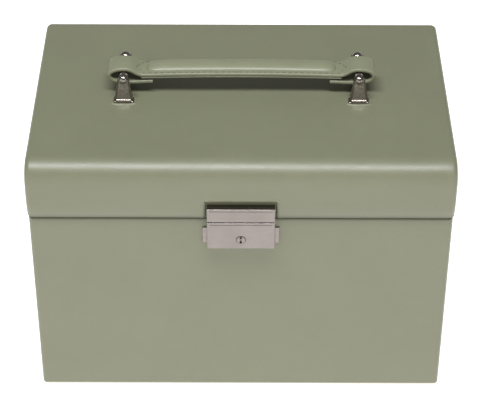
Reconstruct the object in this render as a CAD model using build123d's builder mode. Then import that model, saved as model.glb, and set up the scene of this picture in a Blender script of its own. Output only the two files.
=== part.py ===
"""A leather-covered jewellery chest: hinged lid with a carrying handle, a drop front with a
small key lock, three drawers behind the front and a lined tray under the lid.

Millimetres. X is to the right, Y to the back and Z up. The origin is on the table, under the
middle of the chest. Boards are wood, covers are thin leather, linings are velvet.
"""

import os
from math import acos, asin, cos, degrees, radians, sin

from build123d import *

os.makedirs("parts", exist_ok=True)

# Outer size of the covered body, and the height at which the lid parts from it
body_width = 250.0
body_depth = 160.0
parting = 134.0
parting_gap = 0.5

# Materials
leather = 1.2
turn_in = 1.0
board = 7.0
velvet = 0.8
foot_sheet = 1.2
strip_leather = 1.0
strip_width = 22.0
strip_gap = 0.1
sheet_margin = 1.0
bottom_board = 8.0
corner_radius = 3.0
edge_radius = 1.0
cover_bottom = 0.6

half_width = body_width / 2
front = -body_depth / 2
back = body_depth / 2
body_top = parting - parting_gap / 2
lid_bottom = parting + parting_gap / 2
floor_top = foot_sheet + bottom_board
board_half = half_width - leather
bay_half = board_half - board
lined_half = bay_half - velvet
back_board_front = back - leather - board

# Drop front
flap_board = 6.8
flap_lining = 1.0
flap_back = front + leather + flap_board + flap_lining
flap_clear = 0.3
flap_lift = 0.1
flap_board_lift = 0.3
flap_lining_margin = 2.0
side_front = flap_back + flap_clear
flap_axis_y = front + leather
flap_axis_z = foot_sheet
flap_bottom = flap_axis_z + flap_lift

# Rails behind the drop front, and the three drawers
rail = 8.0
rail_front = side_front
rail_back = rail_front + rail
bay_floor_top = 24.0
bay_floor = 3.0
drawer_height = 22.4
drawer_clear = 0.5
shelf = 1.6
shelf_setback = 1.0
drawer_pitch = drawer_height + 2 * drawer_clear + shelf
drawer_face = -56.0
drawer_face_board = 6.0
drawer_face_round = 1.2
drawer_back = 66.0
drawer_side_clear = 0.6
drawer_half = lined_half - drawer_side_clear
drawer_wall = 3.0
drawer_bottom = 2.4
drawer_box_height = 20.0
drawer_names = ["lower", "middle", "upper"]
knob_length = 9.4
knob_radius = 4.0
knob_flange = 3.2
knob_flange_thick = 0.9
knob_neck = 1.8
knob_stem = 1.6

# Drawer inserts
insert_pad = 1.2
insert_drop = 2.0
partition = 1.5
partition_y = 4.0
ring_count = 6
ring_radius = 4.4
ring_margin = 10.0
ring_end = 12.0
upper_partition_x = -10.0
upper_partition_y = 10.0

# Tray under the lid
tray_floor_bottom = bay_floor_top + 3 * drawer_pitch - shelf
tray_floor_board = 3.0
tray_floor_top = tray_floor_bottom + tray_floor_board
tray_top = body_top - 2.0
tray_wall = 2.0

# Lid
lid_overhang = 0.6
lid_half = half_width + lid_overhang
lid_front = front - 2.7
lid_top = 171.0
padding = 2.5
lid_front_radius = 14.0
lid_back_radius = 7.5
lid_tuck_radius = 42.0
lid_tuck_height = 148.0
lid_board = 5.0
lid_side_board = 6.0
lid_edge_radius = 3.4
lid_core_bottom = lid_bottom + turn_in
lid_rail_foot = -71.0
lid_rail_head = -62.0
lid_back_rail = 7.0
lid_back_rail_front = back - padding - lid_back_rail
lid_core_half = lid_half - padding
lid_inner_half = lid_core_half - lid_side_board
lid_core_top = lid_top - padding
lid_ceiling = lid_core_top - lid_board

# Hinges at the back
hinge_radius = 2.7
hinge_axis_y = back + 0.1 + hinge_radius
hinge_pin_radius = 0.9
hinge_pin_gap = 0.05
hinge_length = 32.0
hinge_leaf = 1.2
hinge_spread = 72.0
knuckle_gap = 0.2
hinge_screw_radius = 1.0
hinge_screw_length = 9.0
hinge_screw_step = 11.0

# Lock
lock_width = 40.0
lock_face = front - 5.2
lock_wall = 1.0
lock_plate = 1.0
lock_round = 0.45
lock_bottom = 114.6
ear_width = 45.5
ear_low = 116.0
ear_high = 127.2
ear_round = 0.4
hasp_top = 143.6
hasp_back = -78.2
notch_half = 20.6
notch_top = 147.0
barrel_z = 121.3
barrel_radius = 2.6
barrel_clear = 0.08
barrel_proud = 0.3
barrel_chamfer = 0.25
keyway_slot = 0.5
keyway_reach = 1.6
keyway_radius = 0.8
keyway_depth = 1.0
groove_width = 0.3
groove_depth = 0.2
groove_end = 1.6
case_groove = body_top - 1.7
hasp_groove = hasp_top - 1.6
cam_thick = 1.6
cam_front = lock_face + lock_wall + 0.15
cam_back = cam_front + cam_thick
cam_half = 1.8
cam_reach = 15.9
cam_hook = 4.6
cam_hook_inner = 14.2
cam_hook_gap = 0.6
cam_gap = 0.3
cam_front_gap = 0.1
cam_stub = 1.5
cam_rivet = 2.3
cam_rivet_thick = 0.5
cam_slot_end = 12.3
hasp_slot_end = 10.8
hasp_ledge = 1.0
hasp_pocket = 4.15

# Handle
handle_y = 3.0
bracket_x = 71.0
bar_radius = 2.2
bar_z = lid_top + 13.2
bar_half = 10.6
bar_end = 1.0
cap_radius = 3.4
cap_offset = 2.0
foot_reach = 18.3
foot_half = 6.1
foot_thick = 5.6
foot_inset = 2.8
head_half = 3.6
head_thick = 2.4
head_offset = 0.9
head_drop = 0.5
tab_half = 4.0
tab_thick = 1.4
tab_gap = 1.0
strap = 2.2
strap_half = 7.75
loop_low = lid_top + 8.6
loop_high = bar_z + bar_radius + 0.1
loop_outer_x = 78.8
loop_crown_x = 70.0
grip_low = lid_top + 10.5
grip_strap = 3.0
grip_end_x = 62.0
tail_end_x = 53.7
pad_half = 60.0
pad_width = 10.5
pad_height = 3.6


def save(part, node):
    """Labels a finished piece and writes it to its own STEP file."""
    part.label = node
    export_step(part, f"parts/{node}.step")


def group(solids, node):
    """Several loose solids that make one node."""
    save(Compound(children=list(solids)), node)


def block(low, high):
    """A plain square-edged board between two opposite corners."""
    with BuildPart() as plain:
        with Locations(tuple((a + b) / 2 for a, b in zip(low, high))):
            Box(*[b - a for a, b in zip(low, high)])
    return plain.part


def rod(radius, start, length, direction):
    """A round bar from a starting point along a direction."""
    with BuildPart() as bar:
        with BuildSketch(Plane(origin=start, z_dir=direction)):
            Circle(radius)
        extrude(amount=length)
    return bar.part


def cut_rods(points, radius, length, direction):
    """Takes round holes out of the part that is being built."""
    for point in points:
        with BuildSketch(Plane(origin=point, z_dir=direction)) as hole:
            Circle(radius)
        extrude(hole.sketch, amount=length, mode=Mode.SUBTRACT)


def cut_block(low, high):
    """Takes a square pocket out of the part that is being built."""
    with Locations(tuple((a + b) / 2 for a, b in zip(low, high))):
        Box(*[b - a for a, b in zip(low, high)], mode=Mode.SUBTRACT)


# ---------------------------------------------------------------- carcass

back_edge_screws = [
    (side * hinge_spread + step, back_board_front + board / 2, body_top)
    for side in (-1, 1)
    for step in (-hinge_screw_step, hinge_screw_step)
]

def case_hinge_mortises():
    """Takes the seats of both lower hinge leaves out of the part that is being built."""
    for side in (-1, 1):
        cut_block(
            (side * hinge_spread - hinge_length / 2, back_board_front, body_top - hinge_leaf),
            (side * hinge_spread + hinge_length / 2, back, body_top),
        )


def make_carcass():
    """Bottom, sides and back: plain boards, glued."""
    save(block((-board_half, side_front, foot_sheet), (board_half, back - leather, floor_top)), "base_board")
    for name, side in (("left", -1), ("right", 1)):
        inner, outer = sorted((side * bay_half, side * board_half))
        low = (inner, side_front + turn_in, floor_top)
        save(block(low, (outer, back_board_front, body_top - turn_in)), f"case_side_{name}")
    with BuildPart() as back_board:
        with Locations((0, back_board_front + board / 2, (floor_top + body_top - turn_in) / 2)):
            Box(2 * board_half, board, body_top - turn_in - floor_top)
        case_hinge_mortises()
        cut_rods(back_edge_screws, hinge_screw_radius, hinge_screw_length, (0, 0, -1))
    save(back_board.part, "case_back")


def make_case_cover():
    """The leather round the sides and back, turned in over the top and front edges."""
    with BuildPart() as cover:
        with BuildSketch(Plane.XY.offset(cover_bottom)):
            with Locations((0, (side_front + back) / 2)):
                Rectangle(body_width, back - side_front)
        extrude(amount=body_top - cover_bottom)
        fillet(cover.edges().filter_by(Axis.Z).group_by(Axis.Y)[-1], corner_radius)
        fillet(cover.faces().sort_by(Axis.Z)[-1].edges(), edge_radius)
        cut_block(
            (-board_half, side_front + turn_in, cover_bottom),
            (board_half, back - leather, body_top - turn_in),
        )
        cut_block((-bay_half, side_front, cover_bottom), (bay_half, back_board_front, body_top))
        cut_block((-board_half, side_front, cover_bottom), (board_half, side_front + turn_in, floor_top))
        case_hinge_mortises()
    save(cover.part, "case_cover")


def make_underside():
    """The sheet that the chest stands on, and the leather strip that hinges the drop front."""
    strip_back = front + strip_width
    sheet_back = back - leather - sheet_margin
    save(block((-board_half, strip_back, 0), (board_half, sheet_back, foot_sheet)), "base_sheet")
    strip_low = (-board_half, flap_axis_y + strip_gap, foot_sheet - strip_leather)
    save(block(strip_low, (board_half, strip_back, foot_sheet)), "hinge_strip")


def make_bay():
    """Rails, shelves and side linings that guide the three drawers."""
    floor_low = bay_floor_top - bay_floor
    group(
        [
            block((-bay_half, rail_front, floor_top), (bay_half, rail_back, bay_floor_top)),
            block((-bay_half, back_board_front - rail, floor_top), (bay_half, back_board_front, floor_low)),
        ],
        "base_rails",
    )
    save(block((-bay_half, rail_back, floor_low), (bay_half, back_board_front, bay_floor_top)), "bay_floor")
    shelves = []
    for step in (1, 2):
        top = bay_floor_top + step * drawer_pitch
        low = (-bay_half, drawer_face + shelf_setback, top - shelf)
        shelves.append(block(low, (bay_half, back_board_front, top)))
    group(shelves, "drawer_shelves")
    linings = []
    for side in (-1, 1):
        for step in range(3):
            low = bay_floor_top + step * drawer_pitch
            inner, outer = sorted((side * lined_half, side * bay_half))
            high = low + drawer_pitch - shelf
            linings.append(block((inner, rail_back, low), (outer, back_board_front, high)))
    group(linings, "bay_linings")


magnet_radius = 4.0
magnet_x = 88.0
magnet_z = 124.0
magnet_thick = 2.0


def make_top_rail():
    """The rail above the drawers, with the steel discs that the drop front's magnets hold."""
    discs = [(side * magnet_x, rail_front, magnet_z) for side in (-1, 1)]
    with BuildPart() as top_rail:
        with Locations((0, (rail_front + rail_back) / 2, (tray_floor_bottom + body_top) / 2)):
            Box(2 * bay_half, rail, body_top - tray_floor_bottom)
        cut_rods(discs, magnet_radius, magnet_thick, (0, 1, 0))
    save(top_rail.part, "top_rail")
    group([rod(magnet_radius, disc, magnet_thick, (0, 1, 0)) for disc in discs], "catch_discs")


# ---------------------------------------------------------------- tray

tray_front = rail_back
tray_back = back_board_front
ring_bay_right = -22.0
middle_bay_right = 40.0
back_bay_left = 12.0
cross_y = 22.0
ring_roll_radius = 5.6
ring_roll_pitch = 12.4
ring_bed_height = 8.8
ring_bed_gap = 0.5
ring_roll_gap = 0.2
ring_roll_end = 1.0
divider_drop = 4.0


def make_tray():
    """The lined tray under the lid: a floor, a rim, dividers and a bed of ring rolls."""
    floor_low = (-bay_half, tray_front, tray_floor_bottom)
    save(block(floor_low, (bay_half, tray_back, tray_floor_top)), "tray_floor")
    inside = bay_half - tray_wall
    low_y, high_y = tray_front + tray_wall, tray_back - tray_wall
    rim = [
        block((-bay_half, tray_front, tray_floor_top), (bay_half, low_y, tray_top)),
        block((-bay_half, high_y, tray_floor_top), (bay_half, tray_back, tray_top)),
    ]
    for side in (-1, 1):
        inner, outer = sorted((side * inside, side * bay_half))
        rim.append(block((inner, low_y, tray_floor_top), (outer, high_y, tray_top)))
    group(rim, "tray_rim")
    divider_top = tray_top - divider_drop
    half = tray_wall / 2
    dividers = [
        block((x - half, low_y, tray_floor_top), (x + half, cross_y - half, divider_top))
        for x in (ring_bay_right, middle_bay_right)
    ]
    back_low = (back_bay_left - half, cross_y + half, tray_floor_top)
    dividers.append(block(back_low, (back_bay_left + half, high_y, divider_top)))
    dividers.append(block((-inside, cross_y - half, tray_floor_top), (inside, cross_y + half, divider_top)))
    group(dividers, "tray_dividers")
    left, right = -inside, ring_bay_right - half
    count = int((cross_y - half - low_y) // ring_roll_pitch)
    start = (low_y + cross_y - half) / 2 - (count - 1) * ring_roll_pitch / 2
    bed_top = tray_floor_top + ring_bed_height
    roll_z = bed_top + ring_roll_gap + ring_roll_radius
    roll_x = left + ring_roll_end
    roll_length = right - left - 2 * ring_roll_end
    rolls = [
        rod(ring_roll_radius, (roll_x, start + n * ring_roll_pitch, roll_z), roll_length, (1, 0, 0))
        for n in range(count)
    ]
    group(rolls, "ring_rolls")
    bed_low = (left + ring_bed_gap, low_y + ring_bed_gap, tray_floor_top)
    save(block(bed_low, (right - ring_bed_gap, cross_y - half - ring_bed_gap, bed_top)), "ring_bed")


# ---------------------------------------------------------------- drawers

def make_drawer(name, level):
    """One drawer: five thin boards, a covered face, a turned knob and a lined insert."""
    low = bay_floor_top + level * drawer_pitch + drawer_clear
    box_front = drawer_face + drawer_face_board
    top = low + drawer_box_height
    inner = drawer_half - drawer_wall
    floor = low + drawer_bottom
    low_y, high_y = box_front + drawer_wall, drawer_back - drawer_wall
    boards = [
        block((-drawer_half, box_front, low), (drawer_half, drawer_back, floor)),
        block((-drawer_half, box_front, floor), (drawer_half, low_y, top)),
        block((-drawer_half, high_y, floor), (drawer_half, drawer_back, top)),
    ]
    for side in (-1, 1):
        near, far = sorted((side * inner, side * drawer_half))
        boards.append(block((near, low_y, floor), (far, high_y, top)))
    group(boards, f"drawer_box_{name}")

    knob_z = low + drawer_height / 2
    with BuildPart() as face:
        with Locations((0, drawer_face + drawer_face_board / 2, low + drawer_height / 2)):
            Box(2 * drawer_half, drawer_face_board, drawer_height)
        fillet(face.faces().sort_by(Axis.Y)[0].edges(), drawer_face_round)
        cut_rods([(0, drawer_face, knob_z)], knob_stem, drawer_face_board, (0, 1, 0))
    save(face.part, f"drawer_face_{name}")

    tip = drawer_face - knob_length
    ball_y = tip + knob_radius
    stem_y = drawer_face + drawer_face_board
    neck_angle = acos(knob_neck / knob_radius)
    neck_y = ball_y + knob_radius * sin(neck_angle)
    with BuildPart() as knob:
        with BuildSketch(Plane.XY.offset(knob_z)):
            with BuildLine():
                CenterArc((0, ball_y), knob_radius, -90, 90 + degrees(neck_angle))
                Polyline(
                    (knob_neck, neck_y), (knob_flange, drawer_face - knob_flange_thick),
                    (knob_flange, drawer_face), (knob_stem, drawer_face), (knob_stem, stem_y),
                    (0, stem_y), (0, tip),
                )
            make_face()
        revolve(axis=Axis((0, 0, knob_z), (0, 1, 0)))
    save(knob.part, f"drawer_knob_{name}")

    pad_top = floor + insert_pad
    inserts = [block((-inner, low_y, floor), (inner, high_y, pad_top))]
    insert_top = top - insert_drop
    half = partition / 2
    if name == "upper":
        pitch = (high_y - low_y - 2 * ring_margin) / (ring_count - 1)
        for n in range(ring_count):
            start = (-inner + ring_roll_end, low_y + ring_margin + n * pitch, pad_top + ring_radius + 0.1)
            inserts.append(rod(ring_radius, start, inner - ring_end, (1, 0, 0)))
        right = upper_partition_x + partition
        far = upper_partition_y + partition
        inserts.append(block((upper_partition_x, low_y, pad_top), (right, high_y, insert_top)))
        inserts.append(block((right, upper_partition_y, pad_top), (inner, far, insert_top)))
    elif name == "middle":
        for x in (-inner / 3, inner / 3):
            inserts.append(block((x - half, low_y, pad_top), (x + half, high_y, insert_top)))
        edges = [-inner, -inner / 3 - half, -inner / 3 + half, inner / 3 - half, inner / 3 + half, inner]
        for left, right in zip(edges[0::2], edges[1::2]):
            inserts.append(block((left, partition_y, pad_top), (right, partition_y + partition, insert_top)))
    else:
        inserts.append(block((-half, low_y, pad_top), (half, high_y, insert_top)))
    group(inserts, f"drawer_insert_{name}")


# ---------------------------------------------------------------- drop front

rivet_x = 16.0
rivet_low = 118.4
rivet_high = 130.6
rivet_radius = 1.0
rivet_head_radius = 1.7
rivet_head_thick = 0.6
lock_rivets = [(x, front - lock_plate, z) for x in (-rivet_x, rivet_x) for z in (rivet_low, rivet_high)]


def make_flap():
    """Board, leather cover, velvet lining and catch magnets of the drop front."""
    rivet_depth = leather + flap_board + lock_plate
    magnets = [(side * magnet_x, flap_back - flap_lining - magnet_thick, magnet_z) for side in (-1, 1)]
    board_bottom = flap_bottom + flap_board_lift
    with BuildPart() as flap:
        with Locations((0, flap_axis_y + flap_board / 2, (board_bottom + body_top - leather) / 2)):
            Box(2 * board_half, flap_board, body_top - leather - board_bottom)
        cut_rods(lock_rivets, rivet_radius, rivet_depth, (0, 1, 0))
        cut_rods(magnets, magnet_radius, magnet_thick, (0, 1, 0))
    save(flap.part, "flap_board")
    group([rod(magnet_radius, magnet, magnet_thick, (0, 1, 0)) for magnet in magnets], "flap_magnets")

    with BuildPart() as cover:
        with Locations((0, (front + flap_back) / 2, (flap_bottom + body_top) / 2)):
            Box(body_width, flap_back - front, body_top - flap_bottom)
        fillet(cover.edges().filter_by(Axis.Z).group_by(Axis.Y)[0], corner_radius)
        fillet(cover.faces().sort_by(Axis.Z)[-1].edges(), edge_radius)
        cut_block((-board_half, flap_axis_y, flap_bottom), (board_half, flap_back, body_top - leather))
        cut_rods(lock_rivets, rivet_radius, rivet_depth, (0, 1, 0))
    save(cover.part, "flap_cover")

    half = board_half - flap_lining_margin
    low_z, high_z = flap_bottom + flap_lining_margin, body_top - leather - flap_lining_margin
    save(block((-half, flap_back - flap_lining, low_z), (half, flap_back, high_z)), "flap_lining")


# ---------------------------------------------------------------- lock

def cut_groove(height):
    """A fine line across the front of the lock piece that is being built."""
    reach = lock_width / 2 - groove_end
    cut_block((-reach, lock_face, height), (reach, lock_face + groove_depth, height + groove_width))


def make_lock():
    """Eared plate, case, key barrel with its hooked cam, rivets, and the hasp on the lid."""
    plate_front = front - lock_plate
    with BuildPart() as plate:
        with BuildSketch(Plane.XZ.offset(-front)):
            with Locations((0, (lock_bottom + body_top) / 2)):
                Rectangle(lock_width, body_top - lock_bottom)
            with Locations((0, (ear_low + ear_high) / 2)):
                Rectangle(ear_width, ear_high - ear_low)
        extrude(amount=lock_plate)
        cut_rods(lock_rivets, rivet_radius, lock_plate, (0, 1, 0))
        ears = plate.edges().filter_by(Axis.Z).filter_by(lambda e: abs(e.center().X) > lock_width / 2 + 1)
        fillet(ears.filter_by(lambda e: e.center().Y < front - lock_plate / 2), ear_round)
    save(plate.part, "lock_plate")
    rivets = []
    for x, y, z in lock_rivets:
        with BuildPart() as rivet:
            with BuildSketch(Plane(origin=(x, y, z), z_dir=(0, 1, 0))):
                Circle(rivet_radius)
            extrude(amount=leather + flap_board + lock_plate)
            with BuildSketch(Plane(origin=(x, y - rivet_head_thick, z), z_dir=(0, 1, 0))):
                Circle(rivet_head_radius)
            extrude(amount=rivet_head_thick)
        rivets.append(rivet.part)
    group(rivets, "lock_rivets")

    middle_z = (lock_bottom + body_top) / 2
    height = body_top - lock_bottom
    depth = plate_front - lock_face
    with BuildPart() as case:
        with Locations((0, (lock_face + plate_front) / 2, middle_z)):
            Box(lock_width, depth, height)
        fillet(case.faces().sort_by(Axis.Y)[0].edges(), lock_round)
        cut_block((-lock_width / 2 + lock_wall, lock_face + lock_wall, lock_bottom + lock_wall),
                  (lock_width / 2 - lock_wall, plate_front, body_top - lock_wall))
        cut_block((-cam_half - cam_gap, cam_front - cam_front_gap, body_top - lock_wall),
                  (cam_slot_end, cam_back + cam_gap, body_top))
        cut_rods([(0, lock_face, barrel_z)], barrel_radius + barrel_clear, lock_wall, (0, 1, 0))
        chamfer(case.edges().filter_by(GeomType.CIRCLE).sort_by(Axis.Y)[0], barrel_chamfer)
        cut_groove(case_groove)
    save(case.part, "lock_case")

    face = lock_face - barrel_proud
    with BuildPart() as barrel:
        with BuildSketch(Plane(origin=(0, face, barrel_z), z_dir=(0, 1, 0))):
            Circle(barrel_radius)
        extrude(amount=cam_front - face)
        with BuildSketch(Plane(origin=(0, cam_front, barrel_z), z_dir=(0, 1, 0))):
            Circle(cam_stub)
        extrude(amount=cam_thick)
        with BuildSketch(Plane(origin=(0, cam_back, barrel_z), z_dir=(0, 1, 0))):
            Circle(cam_rivet)
        extrude(amount=cam_rivet_thick)
        with BuildSketch(Plane(origin=(0, face, barrel_z), z_dir=(0, 1, 0), x_dir=(1, 0, 0))):
            Rectangle(keyway_slot, 2 * keyway_reach)
            with Locations((0, keyway_reach), (0, -keyway_reach)):
                Circle(keyway_radius)
        extrude(amount=keyway_depth, mode=Mode.SUBTRACT)
    save(barrel.part, "lock_barrel")

    with BuildPart() as cam:
        with BuildSketch(Plane(origin=(0, cam_back, barrel_z), z_dir=(0, -1, 0), x_dir=(1, 0, 0))):
            Circle(barrel_radius)
            with Locations((cam_reach / 2, 0)):
                Rectangle(cam_reach, 2 * cam_half)
            with Locations(((cam_hook_inner + cam_reach) / 2, (cam_hook - cam_half) / 2)):
                Rectangle(cam_reach - cam_hook_inner, cam_hook + cam_half)
            Circle(cam_stub, mode=Mode.SUBTRACT)
        extrude(amount=cam_thick)
    save(cam.part, "lock_cam")

    with BuildPart() as hasp:
        with Locations((0, (lock_face + hasp_back) / 2, (lid_bottom + hasp_top) / 2)):
            Box(lock_width, hasp_back - lock_face, hasp_top - lid_bottom)
        fillet(hasp.faces().sort_by(Axis.Y)[0].edges(), lock_round)
        cut_groove(hasp_groove)
        cut_block((-cam_half - cam_gap, cam_front - cam_gap, lid_bottom),
                  (hasp_slot_end, cam_back + cam_gap, lid_bottom + hasp_ledge))
        cut_block((-cam_hook - cam_hook_gap, cam_front - cam_gap, lid_bottom + hasp_ledge),
                  (hasp_slot_end, cam_back + cam_gap, lid_bottom + hasp_pocket))
        cut_rods(hasp_screws, hasp_screw_radius, hasp_screw_length, (0, 1, 0))
    save(hasp.part, "lock_hasp")


# ---------------------------------------------------------------- lid

def lid_outline(inset, bottom):
    """Edges of the lid's side outline: rounded front, flat top, small back radius, tucked-in foot."""
    nose, ceiling, rear = lid_front + inset, lid_top - inset, back - inset
    front_r, back_r, tuck_r = lid_front_radius - inset, lid_back_radius - inset, lid_tuck_radius - inset
    shoulder_y, shoulder_z = lid_front + lid_front_radius, lid_top - lid_front_radius
    tail_y, tail_z = back - lid_back_radius, lid_top - lid_back_radius
    tuck = asin((lid_tuck_height - bottom) / tuck_r)
    foot_y = lid_front + lid_tuck_radius - tuck_r * cos(tuck)
    with BuildLine() as outline:
        Line((nose, lid_tuck_height), (nose, shoulder_z))
        CenterArc((shoulder_y, shoulder_z), front_r, 180, -90)
        Line((shoulder_y, ceiling), (tail_y, ceiling))
        CenterArc((tail_y, tail_z), back_r, 90, -90)
        Line((rear, tail_z), (rear, bottom))
        Line((rear, bottom), (foot_y, bottom))
        CenterArc((lid_front + lid_tuck_radius, lid_tuck_height), tuck_r, 180 + degrees(tuck), -degrees(tuck))
    return outline.edges()


def lid_hinge_mortises():
    """Takes the seats of both upper hinge leaves out of the part that is being built."""
    for side in (-1, 1):
        cut_block(
            (side * hinge_spread - hinge_length / 2, back_board_front, lid_bottom),
            (side * hinge_spread + hinge_length / 2, back, lid_bottom + hinge_leaf),
        )


lid_edge_screws = [(x, y, lid_bottom) for x, y, _ in back_edge_screws]
bracket_screw_radius = 1.5
bracket_screw_head = 2.8
bracket_screw_head_thick = 1.2
bracket_screw_y = 10.2
bracket_screws = [
    (side * bracket_x, handle_y + end * bracket_screw_y, lid_ceiling)
    for side in (-1, 1)
    for end in (-1, 1)
]


def make_lid():
    """Padded leather cover over a frame of two rails, two side boards and a top board."""
    hasp_pocket = ((-notch_half, lid_front, lid_bottom), (notch_half, hasp_back, notch_top))
    with BuildPart() as cover:
        with BuildSketch(Plane.YZ):
            make_face(lid_outline(0, lid_bottom))
        extrude(amount=lid_half, both=True)
        ends = cover.faces().filter_by(Axis.X).edges()
        fillet([e for e in ends if e.center().Z > lid_bottom + 0.1], lid_edge_radius)
        with BuildSketch(Plane.YZ):
            make_face(lid_outline(padding, lid_core_bottom))
        extrude(amount=lid_core_half, both=True, mode=Mode.SUBTRACT)
        cut_block(
            (-lid_inner_half, lid_rail_foot, lid_bottom),
            (lid_inner_half, lid_back_rail_front, lid_ceiling),
        )
        cut_block(*hasp_pocket)
        lid_hinge_mortises()
        holes = [(x, y, lid_core_top) for x, y, _ in bracket_screws]
        cut_rods(holes, bracket_screw_radius, padding, (0, 0, 1))
        cut_rods(hasp_screws, hasp_screw_radius, hasp_screw_length, (0, 1, 0))
    save(cover.part, "lid_cover")

    for name, side in (("left", -1), ("right", 1)):
        with BuildPart() as end_board:
            with BuildSketch(Plane.YZ.offset(side * lid_inner_half)):
                make_face(lid_outline(padding, lid_core_bottom))
            extrude(amount=side * lid_side_board)
        save(end_board.part, f"lid_side_{name}")

    with BuildPart() as front_rail:
        with BuildSketch(Plane.YZ):
            make_face(lid_outline(padding, lid_core_bottom))
            with BuildLine():
                Polyline(
                    (lid_rail_foot, lid_bottom), (lid_rail_head, lid_ceiling), (lid_rail_head, lid_top),
                    (back, lid_top), (back, lid_bottom), close=True,
                )
            make_face(mode=Mode.SUBTRACT)
        extrude(amount=lid_inner_half, both=True)
        cut_block(*hasp_pocket)
        cut_rods(hasp_screws, hasp_screw_radius, hasp_screw_length, (0, 1, 0))
    save(front_rail.part, "lid_front_rail")

    with BuildPart() as back_rail:
        with BuildSketch(Plane.YZ):
            make_face(lid_outline(padding, lid_core_bottom))
            with Locations((lid_back_rail_front - body_depth / 2, lid_top / 2)):
                Rectangle(body_depth, lid_top, mode=Mode.SUBTRACT)
        extrude(amount=lid_inner_half, both=True)
        lid_hinge_mortises()
        cut_rods(lid_edge_screws, hinge_screw_radius, hinge_screw_length, (0, 0, 1))
    save(back_rail.part, "lid_back_rail")

    with BuildPart() as top_board:
        with Locations((0, (lid_rail_head + lid_back_rail_front) / 2, (lid_ceiling + lid_core_top) / 2)):
            Box(2 * lid_inner_half, lid_back_rail_front - lid_rail_head, lid_board)
        cut_rods(bracket_screws, bracket_screw_radius, lid_board, (0, 0, 1))
    save(top_board.part, "lid_top_board")


hasp_screw_radius = 1.1
hasp_screw_length = 9.0
hasp_screw_depth = 2.0
hasp_screw_x = 14.0
hasp_screw_z = 139.5
hasp_screws = [(x, hasp_back - hasp_screw_depth, hasp_screw_z) for x in (-hasp_screw_x, hasp_screw_x)]
lining_thick = 2.0
lining_hole = 3.0
mirror_half_x = 88.0
mirror_half_y = 46.0
mirror_y = 2.0
mirror_thick = 2.0
mirror_rim = 7.0
mirror_lip = 2.5
mirror_proud = 1.0
mirror_corner = 5.0


def make_lid_inside():
    """Padded lining, mirror and its frame, and the screws that only show inside the lid."""
    hasp_rods = [rod(hasp_screw_radius, point, hasp_screw_length, (0, 1, 0)) for point in hasp_screws]
    group(hasp_rods, "hasp_screws")

    screws = []
    for x, y, z in bracket_screws:
        with BuildPart() as screw:
            with BuildSketch(Plane.XY.offset(z)):
                with Locations((x, y)):
                    Circle(bracket_screw_radius)
            extrude(amount=lid_board + padding)
            with BuildSketch(Plane.XY.offset(z - bracket_screw_head_thick)):
                with Locations((x, y)):
                    Circle(bracket_screw_head)
            extrude(amount=bracket_screw_head_thick)
        screws.append(screw.part)
    group(screws, "bracket_screws")

    with BuildPart() as lining:
        with Locations((0, (lid_rail_head + lid_back_rail_front) / 2, lid_ceiling - lining_thick / 2)):
            Box(2 * lid_inner_half, lid_back_rail_front - lid_rail_head, lining_thick)
        cut_rods(bracket_screws, lining_hole, lining_thick, (0, 0, -1))
    save(lining.part, "lid_lining")

    mirror_top = lid_ceiling - lining_thick
    glass_bottom = mirror_top - mirror_thick
    glass_low = (-mirror_half_x, mirror_y - mirror_half_y, glass_bottom)
    glass_high = (mirror_half_x, mirror_y + mirror_half_y, mirror_top)
    save(block(glass_low, glass_high), "mirror")
    opening_x, opening_y = mirror_half_x - mirror_lip, mirror_half_y - mirror_lip
    frame_width, frame_depth = 2 * (mirror_half_x + mirror_rim), 2 * (mirror_half_y + mirror_rim)
    with BuildPart() as frame:
        with BuildSketch(Plane.XY.offset(mirror_top)):
            with Locations((0, mirror_y)):
                RectangleRounded(frame_width, frame_depth, mirror_corner)
        extrude(amount=-(mirror_thick + mirror_proud))
        cut_block(glass_low, glass_high)
        cut_block(
            (-opening_x, mirror_y - opening_y, glass_bottom - mirror_proud),
            (opening_x, mirror_y + opening_y, glass_bottom),
        )
    save(frame.part, "mirror_frame")


# ---------------------------------------------------------------- hinges

def hinge_leaf_part(side, knuckles, leaf_low, screws):
    """One leaf of a butt hinge, with its knuckles on the hinge axis."""
    middle = side * hinge_spread
    with BuildPart() as leaf:
        with Locations((middle, (back_board_front + back) / 2, leaf_low + hinge_leaf / 2)):
            Box(hinge_length, back - back_board_front, hinge_leaf)
        for left, right in knuckles:
            with BuildSketch(Plane.YZ.offset(middle + left)):
                with Locations((hinge_axis_y, parting)):
                    Circle(hinge_radius)
                with Locations(((back + hinge_axis_y) / 2, leaf_low + hinge_leaf / 2)):
                    Rectangle(hinge_axis_y - back, hinge_leaf)
            extrude(amount=right - left)
        with BuildSketch(Plane.YZ.offset(middle - hinge_length / 2)):
            with Locations((hinge_axis_y, parting)):
                Circle(hinge_pin_radius + hinge_pin_gap)
        extrude(amount=hinge_length, mode=Mode.SUBTRACT)
        holes = [(x, y, leaf_low) for x, y, _ in screws if x * side > 0]
        cut_rods(holes, hinge_screw_radius, hinge_leaf, (0, 0, 1))
    return leaf.part


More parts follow.
